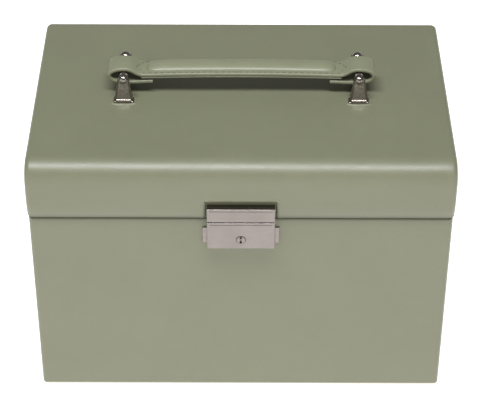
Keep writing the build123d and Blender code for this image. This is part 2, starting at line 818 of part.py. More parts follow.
def make_hinges():
    """Two butt hinges let into the back edges: leaves, pins and screws."""
    third = hinge_length / 3
    outer = [(-hinge_length / 2, -third / 2 - knuckle_gap), (third / 2 + knuckle_gap, hinge_length / 2)]
    middle = [(-third / 2, third / 2)]
    case_leaf_low = body_top - hinge_leaf
    case_leaves = [hinge_leaf_part(side, outer, case_leaf_low, back_edge_screws) for side in (-1, 1)]
    lid_leaves = [hinge_leaf_part(side, middle, lid_bottom, lid_edge_screws) for side in (-1, 1)]
    group(case_leaves, "hinge_case_leaves")
    group(lid_leaves, "hinge_lid_leaves")
    pins = []
    for side in (-1, 1):
        start = (side * hinge_spread - hinge_length / 2, hinge_axis_y, parting)
        pins.append(rod(hinge_pin_radius, start, hinge_length, (1, 0, 0)))
    group(pins, "hinge_pins")
    case_screws = [rod(hinge_screw_radius, p, hinge_screw_length, (0, 0, -1)) for p in back_edge_screws]
    lid_screws = [rod(hinge_screw_radius, p, hinge_screw_length, (0, 0, 1)) for p in lid_edge_screws]
    group(case_screws, "hinge_case_screws")
    group(lid_screws, "hinge_lid_screws")


# ---------------------------------------------------------------- handle

def make_bracket(name, side):
    """A cast arch: a bar for the strap between two round caps, on two spreading legs."""
    x = side * bracket_x
    bar_start = (x, handle_y - bar_half - bar_end, bar_z)
    tab_length = 2 * (foot_reach - bracket_screw_y) - tab_gap
    with BuildPart() as bracket:
        with BuildSketch(Plane(origin=bar_start, z_dir=(0, 1, 0))):
            Circle(bar_radius)
        extrude(amount=2 * (bar_half + bar_end))
        for end in (-1, 1):
            cap_y = handle_y + end * (bar_half + cap_offset)
            with Locations((x, cap_y, bar_z)):
                Sphere(cap_radius)
            with BuildSketch(Plane.XY.offset(lid_top)) as foot:
                with Locations((x, handle_y + end * (foot_reach - foot_inset))):
                    Rectangle(2 * foot_half, foot_thick)
            with BuildSketch(Plane.XY.offset(bar_z - head_drop)) as head:
                with Locations((x, cap_y + end * head_offset)):
                    Rectangle(2 * head_half, head_thick)
            loft([foot.sketch, head.sketch])
            with BuildSketch(Plane.XY.offset(lid_top)):
                with Locations((x, handle_y + end * bracket_screw_y)):
                    Rectangle(2 * tab_half, tab_length)
            extrude(amount=tab_thick)
    save(bracket.part, f"handle_bracket_{name}")


def strap_path(side):
    """Centre line of one end of the strap, from the grip round the bar to the tail."""
    mid = strap / 2
    top, bottom = loop_high + mid, loop_low - mid
    outer = side * (loop_outer_x + mid)
    crown = side * loop_crown_x
    grip_mid = grip_low + grip_strap / 2
    tail_mid = grip_low - mid
    with BuildLine() as path:
        Spline((side * grip_end_x, grip_mid), (crown, top), tangents=[(side, 0), (side, 0)])
        Spline((crown, top), (outer, (top + bottom) / 2), tangents=[(side, 0), (0, -1)])
        Spline((outer, (top + bottom) / 2), (crown, bottom), tangents=[(0, -1), (-side, 0)])
        Spline((crown, bottom), (side * grip_end_x, tail_mid), tangents=[(-side, 0), (-side, 0)])
    return path.line


def make_handle():
    """The strap with a loop at each end, and the padded grip on top of it."""
    with BuildPart() as handle:
        with BuildSketch(Plane.XZ.offset(-(handle_y + strap_half))):
            with Locations((0, grip_low + grip_strap / 2)):
                Rectangle(2 * grip_end_x, grip_strap)
            for side in (-1, 1):
                trace(strap_path(side), strap)
                with Locations((side * (grip_end_x + tail_end_x) / 2, grip_low - strap / 2)):
                    Rectangle(grip_end_x - tail_end_x, strap)
        extrude(amount=2 * strap_half)
    save(handle.part, "handle_strap")

    low = grip_low + grip_strap
    near, far = handle_y - pad_width / 2, handle_y + pad_width / 2
    with BuildPart() as pad:
        with BuildSketch(Plane.YZ.offset(-pad_half)):
            with BuildLine():
                Line((near, low), (far, low))
                ThreePointArc((far, low), (handle_y, low + pad_height), (near, low))
            make_face()
        extrude(amount=2 * pad_half)
    save(pad.part, "handle_pad")


make_carcass()
make_case_cover()
make_underside()
make_bay()
make_top_rail()
make_tray()
for drawer_level, drawer_name in enumerate(drawer_names):
    make_drawer(drawer_name, drawer_level)
make_flap()
make_lock()
make_lid()
make_lid_inside()
make_hinges()
for bracket_name, bracket_side in (("left", -1), ("right", 1)):
    make_bracket(bracket_name, bracket_side)
make_handle()
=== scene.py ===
import math

import bmesh
import bpy
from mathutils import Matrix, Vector, noise


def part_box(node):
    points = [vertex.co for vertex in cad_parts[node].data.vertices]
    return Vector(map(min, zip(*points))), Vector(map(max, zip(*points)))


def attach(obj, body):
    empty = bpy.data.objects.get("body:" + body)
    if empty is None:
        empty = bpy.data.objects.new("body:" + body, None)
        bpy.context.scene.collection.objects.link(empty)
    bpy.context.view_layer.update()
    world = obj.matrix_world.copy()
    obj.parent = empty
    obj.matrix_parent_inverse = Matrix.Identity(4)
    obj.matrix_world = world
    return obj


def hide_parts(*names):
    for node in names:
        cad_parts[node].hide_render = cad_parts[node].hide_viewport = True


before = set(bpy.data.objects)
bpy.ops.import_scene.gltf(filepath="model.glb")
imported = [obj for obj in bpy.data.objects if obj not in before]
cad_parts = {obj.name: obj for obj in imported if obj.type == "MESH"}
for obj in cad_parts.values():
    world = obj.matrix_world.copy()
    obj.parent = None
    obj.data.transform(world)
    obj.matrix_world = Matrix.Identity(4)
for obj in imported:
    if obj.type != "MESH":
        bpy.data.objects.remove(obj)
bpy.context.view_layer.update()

# The jewellery chest's looks: leather, velvet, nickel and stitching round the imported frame.
# Lengths are in millimetres until a mesh is made. X is to the right, Y to the back, Z up.

MM = 0.001


def span(node):
    """Lowest and highest corner of a CAD node, in millimetres."""
    low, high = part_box(node)
    return Vector(low) / MM, Vector(high) / MM


# ---------------------------------------------------------------- node trees

class Value:
    """A node's output that takes part in sums."""

    def __init__(self, maker, socket):
        self.maker, self.socket = maker, socket

    def sum_of(self, operation, first, second):
        return self.maker.node("ShaderNodeMath", {"operation": operation}, {0: first, 1: second})

    def __add__(self, other):
        return self.sum_of("ADD", self, other)

    def __mul__(self, other):
        return self.sum_of("MULTIPLY", self, other)

    __radd__ = __add__
    __rmul__ = __mul__


class Maker:
    """Adds nodes to one tree."""

    def __init__(self, tree):
        self.tree = tree

    def node(self, kind, settings=None, sockets=None, out=0):
        made = self.tree.nodes.new(kind)
        for name, value in (settings or {}).items():
            setattr(made, name, value)
        for name, value in (sockets or {}).items():
            if isinstance(value, Value):
                self.tree.links.new(value.socket, made.inputs[name])
            else:
                made.inputs[name].default_value = value
        return Value(self, made.outputs[out])


def tone(red, green, blue):
    """A colour given as it looks on a screen, from 0 to 255."""
    channels = [c / 255 for c in (red, green, blue)]
    return tuple(c / 12.92 if c <= 0.04045 else ((c + 0.055) / 1.055) ** 2.4 for c in channels) + (1.0,)


class Finish(Maker):
    """One material: a Principled shader and the nodes that feed it."""

    def __init__(self, name, **constants):
        self.material = bpy.data.materials.new(name)
        self.material.use_nodes = True
        super().__init__(self.material.node_tree)
        self.shader = self.tree.nodes["Principled BSDF"]
        self.place = self.node("ShaderNodeTexCoord", out=3)
        for socket, value in constants.items():
            self.shader.inputs[socket.replace("_", " ")].default_value = value

    def feed(self, socket, value):
        self.tree.links.new(value.socket, self.shader.inputs[socket])

    def noise(self, size, detail=2.0, rough=0.5, place=None):
        """Soft cloudy pattern from 0 to 1 whose patches are about size millimetres across."""
        return self.node("ShaderNodeTexNoise", None, {
            "Vector": place or self.place, "Scale": 1 / (size * MM), "Detail": detail, "Roughness": rough})

    def cells(self, size):
        """Rounded cells about size millimetres across, 0 at their middles."""
        return self.node("ShaderNodeTexVoronoi", {"feature": "SMOOTH_F1"}, {
            "Vector": self.place, "Scale": 1 / (size * MM)})

    def stretched(self, x, y, z):
        """The place, drawn out along the axes with small factors."""
        return self.node("ShaderNodeMapping", None, {"Vector": self.place, "Scale": (x, y, z)})

    def ramp(self, factor, low, high):
        """The factor spread so that low becomes 0 and high becomes 1."""
        return self.node("ShaderNodeMapRange", None, {"Value": factor, "From Min": low, "From Max": high})

    def between(self, factor, first, second):
        return self.node("ShaderNodeMix", {"data_type": "RGBA"}, {0: factor, 6: first, 7: second}, out=2)

    def bump(self, height, depth):
        """Relief whose height of 1 stands depth millimetres proud."""
        self.feed("Normal", self.node("ShaderNodeBump", None, {
            "Height": height, "Distance": depth * MM, "Strength": 1.0}))


# How dark the painted groove shade gets, as a share of the leather's dark tone.
shade_share = 0.48


def leather(name, light, dark, roughness=0.41, grain=0.06, groove_shade=None):
    """Smooth faux leather: fine pebbled grain, faint waviness and a soft satin face.

    It may darken from one height to another, in millimetres: painted shade along the groove between lid and
    body, standing in for the shadow there.
    """
    finish = Finish(name, Specular_IOR_Level=0.5, Coat_Roughness=0.42)
    pebbles = finish.cells(0.95)
    fine = finish.noise(0.35, detail=3)
    waves = finish.noise(38.0, detail=1.5)
    patches = finish.noise(9.0, detail=3)
    mottling = finish.ramp(waves * 0.6 + patches * 0.4, 0.3, 0.7)
    creases = finish.ramp(pebbles, 0.05, 0.55)
    colour = finish.between(mottling * 0.75 + creases * 0.25, dark, light)
    # Painted shade: the colour darkens over a band of heights, in place of the shadow along the lid-body
    # groove.
    if groove_shade:
        height = finish.node("ShaderNodeSeparateXYZ", None, {"Vector": finish.place}, out=2)
        shade_ramp = finish.ramp(height, groove_shade[0] * MM, groove_shade[1] * MM)
        shade_colour = tuple(c * shade_share for c in dark[:3]) + (1.0,)
        colour = finish.between(shade_ramp * shade_ramp, colour, shade_colour)
    finish.feed("Base Color", colour)
    finish.feed("Roughness", finish.ramp(patches, 0.2, 0.8) * 0.08 + (roughness - 0.04) + creases * -0.04)
    finish.bump(pebbles * 0.7 + fine * 0.35 + waves * 6.0, grain)
    return finish.material


def velvet(name, light, dark):
    """Short-pile velvet: stroked nap, fibre noise and a bright sheen where the pile turns away."""
    finish = Finish(name, Roughness=0.92, Sheen_Weight=0.75, Sheen_Roughness=0.38, Sheen_Tint=light,
                    Specular_IOR_Level=0.15)
    strokes = finish.noise(7.0, detail=3, place=finish.stretched(0.45, 1.0, 1.0))
    pile = finish.noise(0.28, detail=2)
    nap = finish.ramp(strokes * 0.7 + pile * 0.3, 0.32, 0.68)
    finish.feed("Base Color", finish.between(nap, dark, light))
    finish.bump(pile * 0.7 + strokes * 0.9, 0.10)
    return finish.material


def brushed_nickel(name, light, dark, roughness=0.3):
    """Nickel brushed from side to side, with faint cloudy patches."""
    finish = Finish(name, Metallic=1.0)
    lines = finish.noise(0.25, detail=2, place=finish.stretched(0.02, 1.0, 1.0))
    clouds = finish.noise(11.0)
    tint = finish.ramp(lines * 0.55 + clouds * 0.45, 0.3, 0.7)
    finish.feed("Base Color", finish.between(tint, dark, light))
    finish.feed("Roughness", finish.ramp(lines, 0.25, 0.75) * 0.12 + (roughness - 0.06))
    finish.bump(lines, 0.006)
    return finish.material


def polished_metal(name, light, dark, roughness=0.12):
    """Cast and polished metal with the slight unevenness of hand finishing."""
    finish = Finish(name, Metallic=1.0)
    uneven = finish.noise(2.6, detail=2)
    smears = finish.noise(1.1, detail=4)
    finish.feed("Base Color", finish.between(finish.ramp(smears, 0.3, 0.7), dark, light))
    finish.feed("Roughness", finish.ramp(smears, 0.3, 0.8) * 0.10 + roughness)
    finish.bump(uneven, 0.02)
    return finish.material


def fibreboard(name):
    """Raw fibreboard with fine flecks."""
    finish = Finish(name, Specular_IOR_Level=0.3)
    flecks = finish.noise(0.6, detail=4, place=finish.stretched(0.5, 0.5, 1.0))
    clouds = finish.noise(16.0)
    finish.feed("Base Color", finish.between(finish.ramp(flecks * 0.7 + clouds * 0.3, 0.3, 0.7),
                                             tone(132, 104, 74), tone(170, 140, 104)))
    finish.feed("Roughness", flecks * 0.15 + 0.72)
    finish.bump(flecks, 0.05)
    return finish.material


def birch(name):
    """Thin satin-varnished birch ply with grain along X."""
    finish = Finish(name, Coat_Roughness=0.3)
    rings = finish.noise(1.6, detail=5, rough=0.6, place=finish.stretched(0.06, 1.0, 1.0))
    pores = finish.noise(0.35, detail=2, place=finish.stretched(0.05, 1.0, 1.0))
    finish.feed("Base Color", finish.between(finish.ramp(rings * 0.8 + pores * 0.2, 0.3, 0.72),
                                             tone(176, 150, 116), tone(204, 182, 150)))
    finish.feed("Roughness", pores * 0.2 + 0.38)
    finish.feed("Coat Weight", finish.ramp(rings, 0.2, 0.8) * 0.1 + 0.15)
    finish.bump(rings * 0.6 + pores * 0.4, 0.03)
    return finish.material


def suede(name):
    """Brown suede sheet under the chest."""
    finish = Finish(name, Roughness=0.95, Sheen_Weight=0.4, Sheen_Roughness=0.5)
    nap = finish.noise(4.0, detail=4)
    fibres = finish.noise(0.3)
    finish.feed("Base Color", finish.between(finish.ramp(nap, 0.3, 0.7), tone(78, 66, 52), tone(104, 90, 72)))
    finish.bump(fibres * 0.6 + nap * 0.4, 0.12)
    return finish.material


def silvered_glass(name):
    """Mirror: a clear bright reflection with barely visible haze."""
    finish = Finish(name, Metallic=1.0, Coat_Weight=0.6, Coat_Roughness=0.02)
    haze = finish.noise(24.0)
    finish.feed("Base Color", finish.between(haze, tone(222, 226, 226), tone(236, 240, 240)))
    finish.feed("Roughness", finish.ramp(haze, 0.3, 0.9) * 0.02 + 0.015)
    return finish.material


def deep_shade(name):
    """Painted shade: near-black for the shadow deep inside the keyway."""
    finish = Finish(name, Specular_IOR_Level=0.1)
    shade_mottle = finish.noise(0.5)
    finish.feed("Base Color", finish.between(shade_mottle, tone(10, 9, 9), tone(20, 18, 17)))
    finish.feed("Roughness", shade_mottle * 0.1 + 0.8)
    return finish.material


def thread(name, light, dark):
    """Waxed sewing thread with a twisted lay."""
    finish = Finish(name, Sheen_Weight=0.2)
    twist = finish.noise(0.28, detail=1)
    finish.feed("Base Color", finish.between(finish.ramp(twist, 0.35, 0.65), dark, light))
    finish.feed("Roughness", twist * 0.2 + 0.55)
    finish.bump(twist, 0.05)
    return finish.material


sage_light, sage_dark = tone(113.5, 115, 92.5), tone(108.5, 110, 88.5)
sage = leather("sage_leather", sage_light, sage_dark)
# Painted shade: front_leather darkens towards the drop front's top edge and lid_leather towards the lid's
# lower edge, both at the parting groove.
front_leather = leather("front_leather", sage_light, sage_dark, groove_shade=(126.0, 137.5))
lid_leather = leather("lid_leather", sage_light, sage_dark, groove_shade=(138.0, 134.4))
strap_leather = leather("strap_leather", tone(123, 125, 101), tone(115, 117, 94), roughness=0.40, grain=0.045)
edge_paint = leather("strap_edge_paint", tone(132, 134, 113), tone(122, 124, 104), roughness=0.38, grain=0.02)
# Painted shade: the thread is toned darker than the sage leather, in place of the shadow of the groove it
# sits in.
stitching = thread("sage_thread", tone(102, 103, 82), tone(82, 83, 65))
cream = velvet("cream_velvet", tone(192, 182, 163), tone(176, 165, 145))
lock_metal = brushed_nickel("brushed_nickel", tone(136, 129, 125), tone(123, 116, 112))
bracket_metal = polished_metal("polished_nickel", tone(152, 145, 138), tone(130, 124, 117))
zinc = brushed_nickel("zinc_plate", tone(190, 190, 188), tone(160, 160, 158), roughness=0.36)
board = fibreboard("fibreboard")
ply = birch("birch_ply")
underside = suede("brown_suede")
silver = silvered_glass("silvered_glass")
darkness = deep_shade("keyhole_shade")


# ---------------------------------------------------------------- mesh tools

def linked(name, data):
    """A new object in the scene that holds some data."""
    made = bpy.data.objects.new(name, data)
    bpy.context.scene.collection.objects.link(made)
    return made


def riding(name, data, body):
    """A mesh as a piece that moves with a body."""
    piece = linked(name, data)
    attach(piece, body)
    return piece


def make_piece(name, points, faces, finish, body, slot, sharp):
    """A mesh piece from points in millimetres, its edges sharp beyond an angle in degrees."""
    data = bpy.data.meshes.new(name)
    data.from_pydata([tuple(c * MM for c in p) for p in points], [], faces)
    shape = bmesh.new()
    shape.from_mesh(data)
    bmesh.ops.remove_doubles(shape, verts=shape.verts, dist=1e-6)
    bmesh.ops.recalc_face_normals(shape, faces=shape.faces)
    shape.to_mesh(data)
    shape.free()
    data.shade_smooth()
    data.set_sharp_from_angle(angle=math.radians(sharp))
    data.materials.append(finish)
    return riding(name, data, body)


def joined(*shapes):
    """Several (points, faces) as one."""
    points, faces = [], []
    for more_points, more_faces in shapes:
        faces += [tuple(i + len(points) for i in face) for face in more_faces]
        points += list(more_points)
    return points, faces


def skinned(rows, caps=True):
    """Faces between neighbouring loops of points."""
    count, total = len(rows[0]), len(rows)
    points = [p for row in rows for p in row]
    faces = []
    for i in range(total - 1):
        for j in range(count):
            k, n = (j + 1) % count, i + 1
            faces.append((i * count + j, i * count + k, n * count + k, n * count + j))
    if caps:
        faces.append(tuple(range(count)))
        faces.append(tuple((total - 1) * count + j for j in range(count)))
    return points, faces


def spread(low, high, step):
    """Even places from low to high, about a step apart, both ends included."""
    count = max(1, round((high - low) / step))
    return [low + (high - low) * k / count for k in range(count + 1)]


def with_detail(low, high, step, zones):
    """Places from low to high, closer together in zones of (start, end, step)."""
    places = []
    here = low
    for start, end, fine in sorted(zones):
        places += spread(here, start, step)
        places += spread(start, end, fine)
        here = end
    places += spread(here, high, step)
    return sorted(set(round(p, 4) for p in places))


def soften(coordinate, low, high):
    """0 below low, 1 above high, and a smooth step between."""
    share = max(0.0, min(1.0, (coordinate - low) / (high - low)))
    return share * share * (3 - 2 * share)


def rounded_loop(width, height, radius, steps=4):
    """Rounded rectangle about the middle, as (across, up) pairs."""
    loop = []
    for sx, sy, start in ((1, 1, 0), (-1, 1, 90), (-1, -1, 180), (1, -1, 270)):
        for k in range(steps + 1):
            angle = math.radians(start + 90 * k / steps)
            loop.append((sx * (width / 2 - radius) + radius * math.cos(angle),
                         sy * (height / 2 - radius) + radius * math.sin(angle)))
    return loop


def turned(profile, start, direction, steps=28):
    """A round piece from (distance along, radius) pairs about a line."""
    along = Vector(direction).normalized()
    side = along.orthogonal().normalized()
    up = along.cross(side)
    rows = []
    for distance, radius in profile:
        centre = Vector(start) + along * distance
        rows.append([
            centre + (side * math.cos(a) + up * math.sin(a)) * max(radius, 1e-3)
            for a in (2 * math.pi * k / steps for k in range(steps))
        ])
    return skinned(rows)


def soft_block(low, high, edge, puff=0.0, step=4.0):
    """A block with rolled edges whose faces swell by puff."""
    middle = (Vector(low) + Vector(high)) / 2
    half = (Vector(high) - Vector(low)) / 2
    edge = min(edge, *(h * 0.98 for h in half))

    def lines(reach):
        flat = reach - edge
        count = max(1, round(2 * flat / step))
        inner = [-flat + 2 * flat * k / count for k in range(count + 1)]
        rim = [flat + edge * k / 3 for k in (1, 2, 3)]
        return [-v for v in reversed(rim)] + inner + rim

    places, points, faces = {}, [], []

    def corner(place):
        key = tuple(round(c, 4) for c in place)
        if key not in places:
            core = Vector(max(-h + edge, min(h - edge, c)) for c, h in zip(place, half))
            out = (Vector(place) - core).normalized()
            swell = puff
            for c, h, o in zip(place, half, out):
                swell *= 1 - (abs(c / h) ** 3) * (1 - abs(o))
            places[key] = len(points)
            points.append(middle + core + out * (edge + swell))
        return places[key]

    for axis in range(3):
        u, v = [k for k in range(3) if k != axis]
        across, up = lines(half[u]), lines(half[v])
        for side in (-1, 1):
            grid = []
            for a in across:
                row = []
                for b in up:
                    place = [0.0, 0.0, 0.0]
                    place[axis], place[u], place[v] = side * half[axis], a, b
                    row.append(corner(place))
                grid.append(row)
            for i in range(len(grid) - 1):
                for j in range(len(up) - 1):
                    faces.append((grid[i][j], grid[i + 1][j], grid[i + 1][j + 1], grid[i][j + 1]))
    return points, faces


# ---------------------------------------------------------------- geometry nodes

def geometry_tree(name, inputs):
    """A geometry tree with its sockets, and the maker for its nodes."""
    tree = bpy.data.node_groups.new(name, "GeometryNodeTree")
    tree.interface.new_socket("Geometry", in_out="INPUT", socket_type="NodeSocketGeometry")
    for label, kind, value in inputs:
        socket = tree.interface.new_socket(label, in_out="INPUT", socket_type=kind)
        socket.default_value = value
    tree.interface.new_socket("Geometry", in_out="OUTPUT", socket_type="NodeSocketGeometry")
    maker = Maker(tree)
    start = tree.nodes.new("NodeGroupInput")
    given = {socket.name: Value(maker, socket) for socket in start.outputs}
    return tree, maker, given


def end_tree(maker, result, finish):
    """Realize Instances, Set Material and the tree's output."""
    real = maker.node("GeometryNodeRealizeInstances", None, {0: result})
    painted = maker.node("GeometryNodeSetMaterial", None, {0: real, "Material": finish})
    end = maker.tree.nodes.new("NodeGroupOutput")
    maker.tree.links.new(painted.socket, end.inputs[0])


def grown(name, source, tree, values, body):
    """The plain mesh that a geometry tree makes of a source object, as a piece on a body."""
    modifier = source.modifiers.new(name, "NODES")
    modifier.node_group = tree
    for item in tree.interface.items_tree:
        if item.in_out == "INPUT" and item.name in values:
            modifier[item.identifier] = values[item.name]
    evaluated = source.evaluated_get(bpy.context.evaluated_depsgraph_get())
    data = bpy.data.meshes.new_from_object(evaluated)
    data.name = name
    bpy.data.objects.remove(source)
    return riding(name, data, body)


def stitch_tree(finish):
    """Stitches one after another along curves: a plump thread that dips in at both ends."""
    tree, maker, given = geometry_tree("stitch_rows", [
        ("Pitch", "NodeSocketFloat", 0.0037), ("Length", "NodeSocketFloat", 0.0024),
        ("Thickness", "NodeSocketFloat", 0.0006)])
    thread_shape = maker.node("GeometryNodeMeshUVSphere", None, {"Segments": 8, "Rings": 6, "Radius": 0.5})
    size = maker.node("ShaderNodeCombineXYZ", None, {
        "X": given["Thickness"], "Y": given["Thickness"], "Z": given["Length"]})
    stitch = maker.node("GeometryNodeTransform", None, {"Geometry": thread_shape, "Scale": size})
    walk = maker.node("GeometryNodeCurveToPoints", {"mode": "LENGTH"}, {
        "Curve": given["Geometry"], "Length": given["Pitch"]})
    turn = Value(maker, walk.socket.node.outputs["Rotation"])
    row = maker.node("GeometryNodeInstanceOnPoints", None, {
        "Points": walk, "Instance": stitch, "Rotation": turn})
    smooth = maker.node("GeometryNodeSetShadeSmooth", None, {0: row})
    end_tree(maker, smooth, finish)
    return tree


def screw_tree(finish):
    """Countersunk screw heads with a cross recess, one on every point."""
    tree, maker, given = geometry_tree("screw_heads", [
        ("Radius", "NodeSocketFloat", 0.0016), ("Tip over", "NodeSocketFloat", 0.0)])
    head = maker.node("GeometryNodeMeshCylinder", {"fill_type": "NGON"}, {
        "Vertices": 20, "Radius": 1.0, "Depth": 0.34})
    bar = maker.node("GeometryNodeMeshCube", None, {"Size": (1.25, 0.26, 0.5)})
    other = maker.node("GeometryNodeTransform", None, {"Geometry": bar, "Rotation": (0, 0, math.pi / 2)})
    recess = maker.node("GeometryNodeMeshBoolean", {"operation": "UNION"}, {1: bar})
    maker.tree.links.new(other.socket, recess.socket.node.inputs[1])
    raised = maker.node("GeometryNodeTransform", None, {"Geometry": recess, "Translation": (0, 0, 0.25)})
    cut = maker.node("GeometryNodeMeshBoolean", {"operation": "DIFFERENCE"}, {0: head, 1: raised})
    size = maker.node("ShaderNodeCombineXYZ", None, {
        "X": given["Radius"], "Y": given["Radius"], "Z": given["Radius"]})
    turn = maker.node("ShaderNodeCombineXYZ", None, {"X": given["Tip over"]})
    row = maker.node("GeometryNodeInstanceOnPoints", None, {
        "Points": given["Geometry"], "Instance": cut, "Scale": size, "Rotation": turn})
    end_tree(maker, row, finish)
    return tree


stitches = stitch_tree(stitching)
screw_heads = screw_tree(zinc)


def path_object(path):
    """A closed curve object of straight runs through a path's points, in millimetres."""
    curve = bpy.data.curves.new("path", "CURVE")
    curve.dimensions = "3D"
    spline = curve.splines.new("POLY")
    spline.points.add(len(path) - 1)
    for point, place in zip(spline.points, path):
        point.co = (*(c * MM for c in place), 1)
    spline.use_cyclic_u = True
    return linked("path", curve)


def seam_line(name, path, body, pitch, length, thick):
    """A closed sewn line along a path in millimetres."""
    values = {"Pitch": pitch * MM, "Length": length * MM, "Thickness": thick * MM}
    grown(name, path_object(path), stitches, values, body)


def fine_seam(name, path, body):
    """A closed line of finer stitches, as on the drawer fronts and round the mirror."""
    seam_line(name, path, body, pitch=3.2, length=2.1, thick=0.5)


def screws_at(name, places, radius, tip_over, body):
    """Screw heads at places in millimetres, tipped over by an angle."""
    data = bpy.data.meshes.new(name)
    data.from_pydata([tuple(c * MM for c in p) for p in places], [], [])
    values = {"Radius": radius * MM, "Tip over": tip_over}
    grown(name, linked("places", data), screw_heads, values, body)


def loose_boxes(node):
    """Lowest and highest corner of each loose solid of a CAD node, in millimetres."""
    shape = bmesh.new()
    shape.from_mesh(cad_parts[node].data)
    bmesh.ops.remove_doubles(shape, verts=shape.verts, dist=1e-7)
    waiting, boxes = set(shape.verts), []
    while waiting:
        group, edge_of_group = [], [waiting.pop()]
        while edge_of_group:
            vertex = edge_of_group.pop()
            group.append(vertex.co / MM)
            for edge in vertex.link_edges:
                other = edge.other_vert(vertex)
                if other in waiting:
                    waiting.remove(other)
                    edge_of_group.append(other)
        boxes.append((Vector(map(min, zip(*group))), Vector(map(max, zip(*group)))))
    shape.free()
    return sorted(boxes, key=lambda box: tuple(round(c, 2) for c in (*box[0], *box[1])))


# ---------------------------------------------------------------- lid

lid_low, lid_high = span("lid_cover")
hasp_low, hasp_high = span("lock_hasp")
inside_low, inside_high = span("lid_lining")
strap_low, strap_high = span("handle_strap")
pad_low, pad_high = span("handle_pad")
foot_low, foot_high = span("handle_bracket_left")
leaf_boxes = loose_boxes("hinge_lid_leaves")

nose_radius, tail_radius, tuck_radius, end_radius = 14.0, 7.5, 42.0, 3.4
tuck_rise = 13.75
tuck_height = lid_low.z + tuck_rise
nose_steps, tail_steps, end_steps = 16, 8, 6
lid_turn_in = 1.0
lid_opening = 9.0
unevenness = 0.10

notch_gap, notch_room = 0.6, 3.4
notch_half = hasp_high.x + notch_gap
notch_top = hasp_high.z + notch_room
notch_back = span("lid_front_rail")[0].y - 0.1
notch_roll = 1.1
lip_place, lip_width = 1.9, 0.9
lip_swell, lip_crown = 0.25, 0.35
handle_y = (foot_low.y + foot_high.y) / 2
foot_half = (foot_high.x - foot_low.x) / 2
bracket_x = -(foot_low.x + foot_high.x) / 2
foot_reach = foot_high.y - handle_y
foot_depth = 5.4
rim_height, rim_place, rim_width = 0.7, 0.8, 0.75
rim_bulge = 1.3
detail_margin = 2.6

front_levels = with_detail(lid_low.z, lid_high.z - nose_radius, 1.6, [
    (notch_top - 0.6, notch_top - 0.02, 0.2), (notch_top + 0.02, notch_top + detail_margin, 0.3)])
rows_out, rows_in, row_step = 3.0, 7.5, 0.42
foot_rows = [
    (handle_y - foot_reach - rows_out, handle_y - foot_reach + rows_in, row_step),
    (foot_high.y - rows_in, foot_high.y + rows_out, row_step),
]
top_rows = with_detail(lid_low.y + nose_radius, lid_high.y - tail_radius, 5.0, foot_rows)
rear_levels = spread(lid_high.z - tail_radius, lid_low.z, 4.0)


def lid_outline(inset):
    """Side outline of the lid from the front foot over the top to the back foot, as (y, z)."""
    line = []
    for z in front_levels:
        if z < tuck_height:
            reach = tuck_radius - inset
            line.append((lid_low.y + tuck_radius - math.sqrt(reach**2 - (tuck_height - z) ** 2), z))
        else:
            line.append((lid_low.y + inset, z))
    for k in range(1, nose_steps):
        angle = math.pi - math.pi / 2 * k / nose_steps
        reach = nose_radius - inset
        line.append((lid_low.y + nose_radius + reach * math.cos(angle),
                     lid_high.z - nose_radius + reach * math.sin(angle)))
    line += [(y, lid_high.z - inset) for y in top_rows]
    for k in range(1, tail_steps):
        angle = math.pi / 2 - math.pi / 2 * k / tail_steps
        reach = tail_radius - inset
        line.append((lid_high.y - tail_radius + reach * math.cos(angle),
                     lid_high.z - tail_radius + reach * math.sin(angle)))
    line += [(lid_high.y - inset, z) for z in rear_levels]
    return line


def pressed(x, y, z):
    """The lid's surface with its hasp notch, the rims round the handle's feet and faint unevenness."""
    if y < inside_low.y and z < lid_high.z - 2:
        across, up = max(abs(x) - notch_half, 0.0), max(z - notch_top, 0.0)
        away = math.hypot(across, up)
        if away == 0.0:
            return Vector((x, max(y, notch_back), z))
        if away < notch_roll:
            y += notch_roll - math.sqrt(notch_roll**2 - (notch_roll - away) ** 2)
        swell = lip_swell + lip_crown * up / max(away, 0.001)
        y -= swell * math.exp(-(((away - lip_place) / lip_width) ** 2))
    if z > lid_high.z - 0.5:
        across = max(abs(abs(x) - bracket_x) - foot_half, 0.0)
        bulge = rim_bulge * max(1 - ((abs(x) - bracket_x) / foot_half) ** 2, 0.0)
        outer = abs(y - handle_y) - foot_reach - bulge
        along = max(outer, -foot_depth - outer, 0.0)
        away = math.hypot(across, along)
        z += rim_height * math.exp(-(((away - rim_place) / rim_width) ** 2)) if away > 0 else -0.1
        z += unevenness * noise.noise(Vector((x, y, 0)) / 34.0)
    elif abs(x) < lid_high.x - end_radius and y < 0:
        y += unevenness * noise.noise(Vector((x, 0, z)) / 30.0)
    return Vector((x, y, z))


